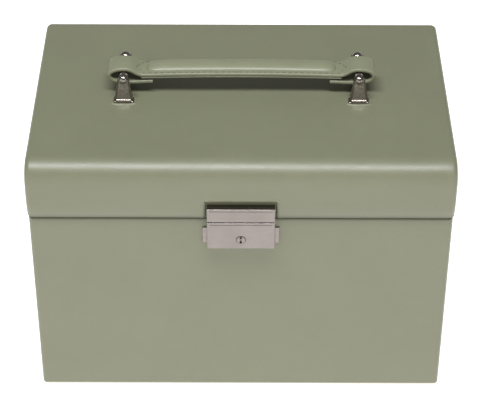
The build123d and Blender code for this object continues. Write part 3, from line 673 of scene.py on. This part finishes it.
def make_lid_leather():
    """The padded leather of the lid: one skin over front, top, back and ends, turned in below."""
    board_end, opening_y = inside_high.x, inside_low.y - lid_opening
    leaf_ends = [x for low, high in leaf_boxes for x in (low.x, high.x)]
    flat_half = lid_high.x - end_radius
    zones = [(-notch_half - detail_margin, -notch_half + 0.6, 0.3),
             (notch_half - 0.6, notch_half + detail_margin, 0.3)]
    zones += [(foot_x - foot_half - detail_margin, foot_x + foot_half + detail_margin, 0.55)
              for foot_x in (-bracket_x, bracket_x)]
    middle = with_detail(-flat_half, flat_half, 4.0, zones)
    middle = sorted(set(middle + [-board_end, board_end] + [round(x, 4) for x in leaf_ends]))
    curl = [math.radians(90 * k / end_steps) for k in range(1, end_steps + 1)]
    stations = [(x, 0.0) for x in middle]
    for angle in curl:
        x, inset = flat_half + end_radius * math.sin(angle), end_radius * (1 - math.cos(angle))
        stations = [(-x, inset)] + stations + [(x, inset)]
    rows = []
    for x, inset in stations:
        line = lid_outline(inset)
        row = [pressed(x, y, z) for y, z in line]
        row += [Vector((x, inside_high.y, lid_low.z)), Vector((x, opening_y, lid_low.z))]
        rows.append(row)
    count = len(rows[0])
    points, faces = skinned(rows)
    kept = []
    for face in faces:
        if len(face) > 4:
            kept.append(face)
            continue
        xs = [points[i].x for i in face]
        columns = {i % count for i in face}
        inner = columns == {count - 2, count - 1} and abs(sum(xs)) / 4 < board_end
        seat = columns == {count - 3, count - 2} and any(
            low.x < sum(xs) / 4 < high.x for low, high in leaf_boxes)
        if not inner and not seat:
            kept.append(face)
    ring = [(side * board_end, y) for side, y in (
        (-1, opening_y), (1, opening_y), (1, inside_high.y), (-1, inside_high.y))]
    lip_rows = [[Vector((*place, lid_low.z + up)) for place in ring] for up in (0, lid_turn_in)]
    points, faces = joined((points, kept), skinned(lip_rows, caps=False))
    piece = make_piece("lid_leather", points, faces, lid_leather, "lid", "sage_leather", 48)
    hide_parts("lid_cover")


make_lid_leather()

# ---------------------------------------------------------------- handle

strap_thick = 2.2
half_strap = strap_thick / 2
loop_x = strap_high.x - half_strap
loop_top = strap_high.z - half_strap
loop_foot = strap_low.z + half_strap
crown_x = bracket_x - 1.0
grip_x = 59.5
grip_mid = pad_low.z - half_strap + 0.1
tail_x = 53.7
tail_mid = grip_mid - 4.3
arch = 1.0
strap_wide = strap_high.y - strap_low.y
strap_edge = 0.8
backing_thick, backing_edge = 0.9, 0.35
pad_half, pad_taper, pad_sunk = 57.5, 8.0, 0.35
pad_lean, pad_sides = 2.1, 24
grip_seam_y = 6.35
grip_seam_x = grip_x - 0.5
grip_seam_end = crown_x - 6.2
stitch_lift = 0.05


def bezier(first, lever, other_lever, last, count):
    """Points along a cubic curve in X and Z."""
    line = []
    for k in range(count + 1):
        t = k / count
        a, b, c, d = (1 - t) ** 3, 3 * t * (1 - t) ** 2, 3 * t * t * (1 - t), t**3
        line.append(Vector([a * p + b * q + c * r + d * s
                            for p, q, r, s in zip(first, lever, other_lever, last)]))
    return line


def half_loop():
    """Middle line of the strap's right end, from the tail's tip round the bar to the grip."""
    tip, grip_end = (tail_x, tail_mid), (grip_x, grip_mid)
    below, above = (crown_x - 1, loop_foot), (crown_x + 0.5, loop_top)
    bend = (loop_x, (loop_top + loop_foot) / 2)
    pieces = [
        (tip, (tail_x + 6, tail_mid + 0.1), (crown_x - 8, loop_foot), below),
        (below, (loop_x - 3, loop_foot), (loop_x, loop_foot + 2), bend),
        (bend, (loop_x, loop_top - 1.6), (loop_x - 3.4, loop_top), above),
        (above, (crown_x - 5, loop_top), (grip_x + 5, grip_mid + 0.2), grip_end),
    ]
    line = [Vector(tip)]
    for piece in pieces:
        line += bezier(*piece, 9)[1:]
    return line


def grip_height(x):
    """Height of the strap's middle line along the grip."""
    return grip_mid + arch * (1 - (x / grip_x) ** 2)


def strap_line():
    """Middle line of the whole strap, from the left tail to the right tail."""
    right = half_loop()
    grip = [Vector((x, grip_height(x))) for x in spread(-grip_x, grip_x, 4.0)[1:-1]]
    left = [Vector((-p.x, p.y)) for p in right]
    return left + grip + right[::-1]


def ribbon(line, width, thick, corner):
    """A flat band along a line in X and Z, with rounded edges."""
    section = rounded_loop(width, thick, corner)
    rows = []
    for k, place in enumerate(line):
        ahead = (line[min(k + 1, len(line) - 1)] - line[max(k - 1, 0)]).normalized()
        across, up = Vector((0, 1, 0)), Vector((-ahead.y, 0, ahead.x))
        centre = Vector((place.x, handle_y, place.y))
        rows.append([centre + across * u + up * v for u, v in section])
    return skinned(rows)


def strap_top(x):
    """Height of the strap's upper face at x."""
    x = abs(x)
    if x <= grip_x:
        return grip_height(x) + half_strap
    line = [p for p in half_loop() if p.y > (loop_top + loop_foot) / 2 and p.x <= crown_x + 1]
    line.sort(key=lambda p: p.x)
    for first, second in zip(line, line[1:]):
        if first.x <= x <= second.x:
            share = (x - first.x) / (second.x - first.x)
            slope = (second.y - first.y) / (second.x - first.x)
            return first.y + (second.y - first.y) * share + half_strap * math.hypot(1, slope)
    return loop_top + half_strap


def make_handle():
    """The folded strap, its backing, the padded grip and the stitching round it."""
    strap = make_piece("strap", *ribbon(strap_line(), strap_wide, strap_thick, strap_edge),
                       strap_leather, "handle", "sage_leather", 60)
    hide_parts("handle_strap")
    backing_sink = half_strap + backing_thick / 2
    backing = [Vector((x, grip_height(x) - backing_sink)) for x in spread(-grip_x - 1, grip_x + 1, 4.0)]
    make_piece("strap_backing", *ribbon(backing, strap_wide - 0.3, backing_thick, backing_edge),
               edge_paint, "handle", "sage_leather", 60)
    pad_wide, pad_tall = pad_high.y - pad_low.y, pad_high.z - pad_low.z - 0.5
    full_half = pad_half - pad_taper
    tapers = [(-pad_half, -full_half, 0.8), (full_half, pad_half, 0.8)]
    rows = []
    for x in with_detail(-pad_half, pad_half, 3.0, tapers):
        beyond = max(abs(x) - full_half, 0.0) / pad_taper
        fullness = math.sqrt(max(1 - beyond**2, 0.0004))
        base = strap_top(x) - pad_sunk
        row = []
        for k in range(pad_sides):
            angle = 2 * math.pi * k / pad_sides
            across, up = math.cos(angle), math.sin(angle)
            lean = pad_lean * max(up, 0.0) ** 1.6
            crown = (max(up, 0.0) ** 0.9) * pad_tall * fullness
            row.append(Vector((x, handle_y + (across * pad_wide / 2 + lean) * (0.35 + 0.65 * fullness),
                               base + crown - (0.2 if up < 0 else 0.0))))
        rows.append(row)
    pad = make_piece("grip_padding", *skinned(rows), strap_leather, "handle", "sage_leather", 60)
    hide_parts("handle_pad")
    shoulder_x, shoulder_y = grip_seam_x + 2.0, grip_seam_y * 0.55
    run = spread(-grip_seam_x, grip_seam_x, 3.0)
    loop = [(x, -grip_seam_y) for x in run]
    loop += [(shoulder_x, -shoulder_y), (grip_seam_end, 0), (shoulder_x, shoulder_y)]
    loop += [(x, grip_seam_y) for x in reversed(run)]
    loop += [(-shoulder_x, shoulder_y), (-grip_seam_end, 0), (-shoulder_x, -shoulder_y)]
    loop = [(x, handle_y + across, strap_top(x) + stitch_lift) for x, across in loop]
    seam_line("grip_stitches", loop, "handle", pitch=3.7, length=2.4, thick=0.62)


make_handle()


ball_y, ball_radius, bar_radius, bar_collar = 12.6, 3.4, 2.2, 0.5
leg_flare = 1.15
leg_head, leg_foot = 3.5, 2.3
leg_section = ((-1, 1), (-1, 0.42), (-0.84, 0.28), (-0.76, 0.02), (-0.6, 0),
               (0.6, 0), (0.76, 0.02), (0.84, 0.28), (1, 0.42), (1, 1))
foot_bar_half, foot_bar_radius = 4.9, 1.05
tab_half, tab_inner, metal_edge = 4.0, 3.2, 0.5


def make_bracket(name, side):
    """A cast nickel arch: a bar between two balls, on two flanged legs with a bar across each foot."""
    x = side * bracket_x
    top = lid_high.z
    bar_z = foot_high.z - ball_radius
    collar = bar_radius + bar_collar
    angles = (math.radians(d) for d in range(0, 145, 12))
    half_profile = [(-ball_y - ball_radius * math.cos(a), ball_radius * math.sin(a)) for a in angles]
    half_profile += [(-ball_y + 3.3, collar), (-ball_y + 3.9, collar), (-ball_y + 4.3, bar_radius)]
    whole = half_profile + [(-p, r) for p, r in reversed(half_profile)]
    shapes = [turned(whole, (x, handle_y, bar_z), (0, 1, 0))]
    face_foot, face_head = foot_reach - 0.5, ball_y + 2.5
    for end in (-1, 1):
        rows = []
        for k in range(11):
            share = k / 10
            z = top + 0.05 + (bar_z + 0.9 - top) * share
            flare = (1 - share) ** leg_flare
            wide = leg_head + leg_foot * flare
            face = face_foot - (face_foot - face_head) * (1 - flare)
            deep = 2.4 + 2.2 * flare
            rows.append([Vector((x + across * wide, handle_y + end * (face - back * deep), z))
                         for across, back in leg_section])
        shapes.append(skinned(rows))
        reaches = foot_reach, foot_reach - foot_depth, tab_inner
        outer, inner, tab = (handle_y + end * reach for reach in reaches)
        low_y, high_y = sorted((outer, inner))
        foot_corners = (x - foot_half, low_y, top - 0.2), (x + foot_half, high_y, top + 0.9)
        shapes.append(soft_block(*foot_corners, metal_edge, step=2))
        bar_start = (x - foot_bar_half, handle_y + end * (foot_reach - 0.7), top + 1.3)
        bar_profile = [(0, 0.4), (0.5, foot_bar_radius), (2 * foot_bar_half - 0.5, foot_bar_radius),
                       (2 * foot_bar_half, 0.4)]
        shapes.append(turned(bar_profile, bar_start, (1, 0, 0), steps=16))
        low_y, high_y = sorted((inner, tab))
        tab_corners = (x - tab_half, low_y, top - 0.1), (x + tab_half, high_y, top + 1.3)
        shapes.append(soft_block(*tab_corners, metal_edge, step=2))
    piece = make_piece(f"bracket_{name}", *joined(*shapes), bracket_metal, "lid", "polished_nickel", 35)
    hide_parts(f"handle_bracket_{name}")


for bracket_name, bracket_side in (("left", -1), ("right", 1)):
    make_bracket(bracket_name, bracket_side)

# ---------------------------------------------------------------- inside: velvet and drawers

roll_end, roll_sides = 2.5, 28


def roll(low, high):
    """A stuffed roll along X with gently gathered ends."""
    middle_y, middle_z = (low.y + high.y) / 2, (low.z + high.z) / 2
    radius = (high.y - low.y) / 2
    rows = []
    ends = [(low.x, low.x + roll_end, 0.5), (high.x - roll_end, high.x, 0.5)]
    for x in with_detail(low.x, high.x, 5.0, ends):
        edge = min(x - low.x, high.x - x)
        fullness = math.sqrt(max(1 - (1 - min(edge / roll_end, 1.0)) ** 2, 0.02))
        row = []
        for k in range(roll_sides):
            angle = 2 * math.pi * k / roll_sides
            out = Vector((0, math.cos(angle), math.sin(angle)))
            wobble = 0.25 * noise.noise(Vector((x / 16.0, middle_y, angle * 1.4)))
            pleat = 0.12 * math.cos(9 * angle) * (1 - soften(edge, 0.5, 5.0))
            row.append(Vector((x, middle_y, middle_z)) + out * (radius * fullness + wobble + pleat - 0.3))
        rows.append(row)
    return skinned(rows)


def upholstered(name, node, body, edge=0.7, puff=0.0):
    """Velvet-wrapped blocks and rolls in place of a CAD node's plain solids."""
    shapes = []
    for low, high in loose_boxes(node):
        size = high - low
        if abs(size.y - size.z) < 0.05 and size.x > 3 * size.y:
            shapes.append(roll(low, high))
        else:
            shapes.append(soft_block(low, high, edge, puff))
    piece = make_piece(name, *joined(*shapes), cream, body, "cream_velvet", 60)
    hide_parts(node)


upholstered("ring_cushions", "ring_rolls", "case")
upholstered("ring_cushion_bed", "ring_bed", "case", edge=1.5, puff=-0.2)
upholstered("tray_partitions", "tray_dividers", "case", edge=0.95)

tray_low, tray_high = span("tray_rim")
tray_wall, tray_wall_edge = 2.0, 0.8
tray_near, tray_far = tray_low.y + tray_wall, tray_high.y - tray_wall
wall_corners = [
    (tray_low, (tray_high.x, tray_near, tray_high.z)),
    ((tray_low.x, tray_far, tray_low.z), tray_high),
    ((tray_low.x, tray_near, tray_low.z), (tray_low.x + tray_wall, tray_far, tray_high.z)),
    ((tray_high.x - tray_wall, tray_near, tray_low.z), (tray_high.x, tray_far, tray_high.z)),
]
walls = [soft_block(*corners, tray_wall_edge, step=8.0) for corners in wall_corners]
tray_walls = make_piece("tray_walls", *joined(*walls), cream, "case", "cream_velvet", 60)
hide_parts("tray_rim")
upholstered("lid_padding", "lid_lining", "lid", edge=0.9, puff=0.7)

drawer_seam = 2.6
for level in ("lower", "middle", "upper"):
    upholstered(f"drawer_{level}_lining", f"drawer_insert_{level}", f"drawer_{level}", edge=0.55)
    face_low, face_high = span(f"drawer_face_{level}")
    face = make_piece(f"drawer_{level}_front", *soft_block(face_low, face_high, 1.3, 0.35, step=6.0), sage,
                      f"drawer_{level}", "drawer_leather", 60)
    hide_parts(f"drawer_face_{level}")
    left, right = face_low.x + drawer_seam, face_high.x - drawer_seam
    foot, head = face_low.z + drawer_seam, face_high.z - drawer_seam
    corners = [(left, foot), (right, foot), (right, head), (left, head)]
    fine_seam(f"drawer_{level}_stitches", [(x, face_low.y + stitch_lift, z) for x, z in corners],
              f"drawer_{level}")

flap_low, flap_high = span("flap_cover")
flap_pad_low, flap_pad_high = span("flap_lining")
skin = 1.3
front_roll, front_roll_steps = 2.2, 12
front_pad = soft_block((flap_low.x + skin, flap_pad_low.y, flap_low.z + 0.3),
                       (flap_high.x - skin, flap_pad_high.y, flap_high.z - skin), 0.45, 0.2, step=6.0)
flap_pad = make_piece("drop_front_padding", *front_pad, cream, "drop_front", "cream_velvet", 60)
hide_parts("flap_lining")


def make_drop_front_leather():
    """The leather of the drop front, its upper edge rolled over the board."""
    centre_y, centre_z = flap_low.y + front_roll, flap_high.z - front_roll
    shape = bmesh.new()
    shape.from_mesh(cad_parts["flap_cover"].data)
    bmesh.ops.remove_doubles(shape, verts=shape.verts, dist=1e-6)
    for k in range(front_roll_steps + 1):
        angle = math.pi / 2 * k / front_roll_steps
        for place, normal in (((0, centre_y - front_roll * math.sin(angle), 0), (0, 1, 0)),
                              ((0, 0, centre_z + front_roll * math.sin(angle)), (0, 0, 1))):
            bmesh.ops.bisect_plane(shape, geom=shape.verts[:] + shape.edges[:] + shape.faces[:],
                                   plane_co=[c * MM for c in place], plane_no=normal)
    points = []
    for vertex in shape.verts:
        x, y, z = vertex.co / MM
        away = math.hypot(y - centre_y, z - centre_z)
        if y < centre_y and z > centre_z and away > front_roll:
            y = centre_y + (y - centre_y) * front_roll / away
            z = centre_z + (z - centre_z) * front_roll / away
        points.append((x, y, z))
    shape.verts.index_update()
    faces = [tuple(v.index for v in face.verts) for face in shape.faces]
    shape.free()
    piece = make_piece("drop_front_leather", points, faces, front_leather, "drop_front", "sage_leather", 45)
    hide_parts("flap_cover")


make_drop_front_leather()
front_foot = soft_block((flap_low.x + skin, flap_low.y + skin, flap_low.z),
                        (flap_high.x - skin, flap_pad_low.y, flap_low.z + 0.4), 0.15, step=8.0)
make_piece("drop_front_foot", *front_foot, sage, "drop_front", "sage_leather", 60)

frame_low, frame_high = span("mirror_frame")
glass_low, glass_high = span("mirror")
seam_low, seam_high = (glass_low + frame_low) / 2, (glass_high + frame_high) / 2
seam_z = frame_low.z - 0.02
fine_seam("mirror_frame_stitches", [
    (seam_low.x, seam_low.y, seam_z), (seam_high.x, seam_low.y, seam_z),
    (seam_high.x, seam_high.y, seam_z), (seam_low.x, seam_high.y, seam_z)], "lid")

barrel_low, barrel_high = span("lock_barrel")
barrel_z = (barrel_low.z + barrel_high.z) / 2
hole_reach, hole_radius, hole_sunk, hole_deep = 1.6, 0.78, 0.35, 0.4
hole_places = [(0, barrel_low.y + hole_sunk, barrel_z + side * hole_reach) for side in (-1, 1)]
# Painted shade: two dark discs in the key barrel's pockets stand in for the shadow inside the keyhole.
make_piece("keyhole_dark", *joined(*[
    turned([(0, hole_radius), (hole_deep, hole_radius)], place, (0, 1, 0), steps=20) for place in hole_places
]), darkness, "key_barrel", "lock_nickel", 40)

screw_radius = 1.7
for screw_body, screw_turn in (("case", 0.0), ("lid", math.pi)):
    places = [((low.x + high.x) / 2, (low.y + high.y) / 2, high.z if screw_turn == 0 else low.z)
              for low, high in loose_boxes(f"hinge_{screw_body}_screws")]
    screws_at(f"hinge_{screw_body}_screw_heads", places, screw_radius, screw_turn, screw_body)

# ---------------------------------------------------------------- finishes of the CAD parts

finishes = {
    sage: ["case_cover", "hinge_strip", "mirror_frame", "base_rails"],
    cream: ["bay_linings", "tray_floor", "top_rail", "lid_front_rail", "lid_back_rail", "lid_side_left",
            "lid_side_right", "drawer_shelves", "bay_floor"],
    lock_metal: ["lock_case", "lock_plate", "lock_hasp", "lock_barrel", "lock_rivets"],
    bracket_metal: ["drawer_knob_lower", "drawer_knob_middle", "drawer_knob_upper", "hinge_case_leaves",
                    "hinge_lid_leaves", "hinge_pins"],
    zinc: ["lock_cam", "hinge_case_screws", "hinge_lid_screws", "hasp_screws", "bracket_screws",
           "catch_discs", "flap_magnets"],
    board: ["base_board", "case_side_left", "case_side_right", "case_back", "flap_board", "lid_top_board"],
    ply: ["drawer_box_lower", "drawer_box_middle", "drawer_box_upper"],
    underside: ["base_sheet"],
    silver: ["mirror"],
}
for finish, nodes in finishes.items():
    for node in nodes:
        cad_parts[node].data.materials.clear()
        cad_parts[node].data.materials.append(finish)

# ---------------------------------------------------------------- floor, light and camera

chest_middle = (0, 0, 100)
cool, neutral, warm, rosy = (0.97, 1.0, 1.04), (1, 1, 1), (1.0, 0.985, 0.95), (1.0, 0.965, 0.97)


def pale_floor():
    """A plain pale floor under the chest."""
    finish = Finish("pale_floor", Roughness=0.6, Specular_IOR_Level=0.2,
                    Emission_Color=(1, 0.955, 0.91, 1), Emission_Strength=0.7)
    haze = finish.noise(900.0)
    finish.feed("Base Color", finish.between(haze, (0.95, 0.95, 0.95, 1), (0.97, 0.97, 0.97, 1)))
    reach, drop = 4000.0, -0.2
    data = bpy.data.meshes.new("floor")
    corners = ((-reach, -reach), (reach, -reach), (reach, reach), (-reach, reach))
    data.from_pydata([(x * MM, y * MM, drop * MM) for x, y in corners], [], [(0, 1, 2, 3)])
    data.materials.append(finish.material)
    floor = linked("floor", data)


def soft_light(name, place, width, height, watts, colour):
    """A rectangular soft box at a place, turned to the chest."""
    data = bpy.data.lights.new(name, "AREA")
    data.shape = "RECTANGLE"
    data.size, data.size_y, data.energy, data.color = width * MM, height * MM, watts, colour
    lamp = linked(name, data)
    lamp.location = Vector(place) * MM
    lamp.rotation_euler = (Vector(chest_middle) - Vector(place)).to_track_quat("-Z", "Y").to_euler()


pale_floor()
soft_light("overhead_strip", (-120, -400, 1520), 1200, 200, 21.5, cool)
soft_light("overhead_soft", (0, -480, 1650), 1600, 600, 6.5, neutral)
soft_light("front_fill", (0, -2600, 560), 2600, 900, 10, warm)
soft_light("front_left", (-2000, -1700, 900), 1300, 1300, 8, rosy)
soft_light("front_right", (2000, -1700, 900), 1300, 1300, 6, rosy)

world = bpy.data.worlds.new("studio")
world.use_nodes = True
backdrop = world.node_tree.nodes["Background"]
backdrop.inputs["Color"].default_value = (1, 1, 1, 1)
backdrop.inputs["Strength"].default_value = 0.22
bpy.context.scene.world = world
bpy.context.scene.view_settings.view_transform = "Standard"

lens = bpy.data.cameras.new("camera")
lens.sensor_width = 36.0
lens.lens = 130.95
lens.shift_x, lens.shift_y = 0.0012, 0.0037
camera = linked("camera", lens)
camera_back, camera_height, camera_dip, camera_roll = 812.9, 770.3, 37.7, 0.003
camera.location = Vector((0, flap_low.y - camera_back, camera_height)) * MM
camera.rotation_euler = (math.radians(90 - camera_dip), 0, 0)
camera.rotation_euler.rotate_axis("Z", camera_roll)
bpy.context.scene.camera = camera
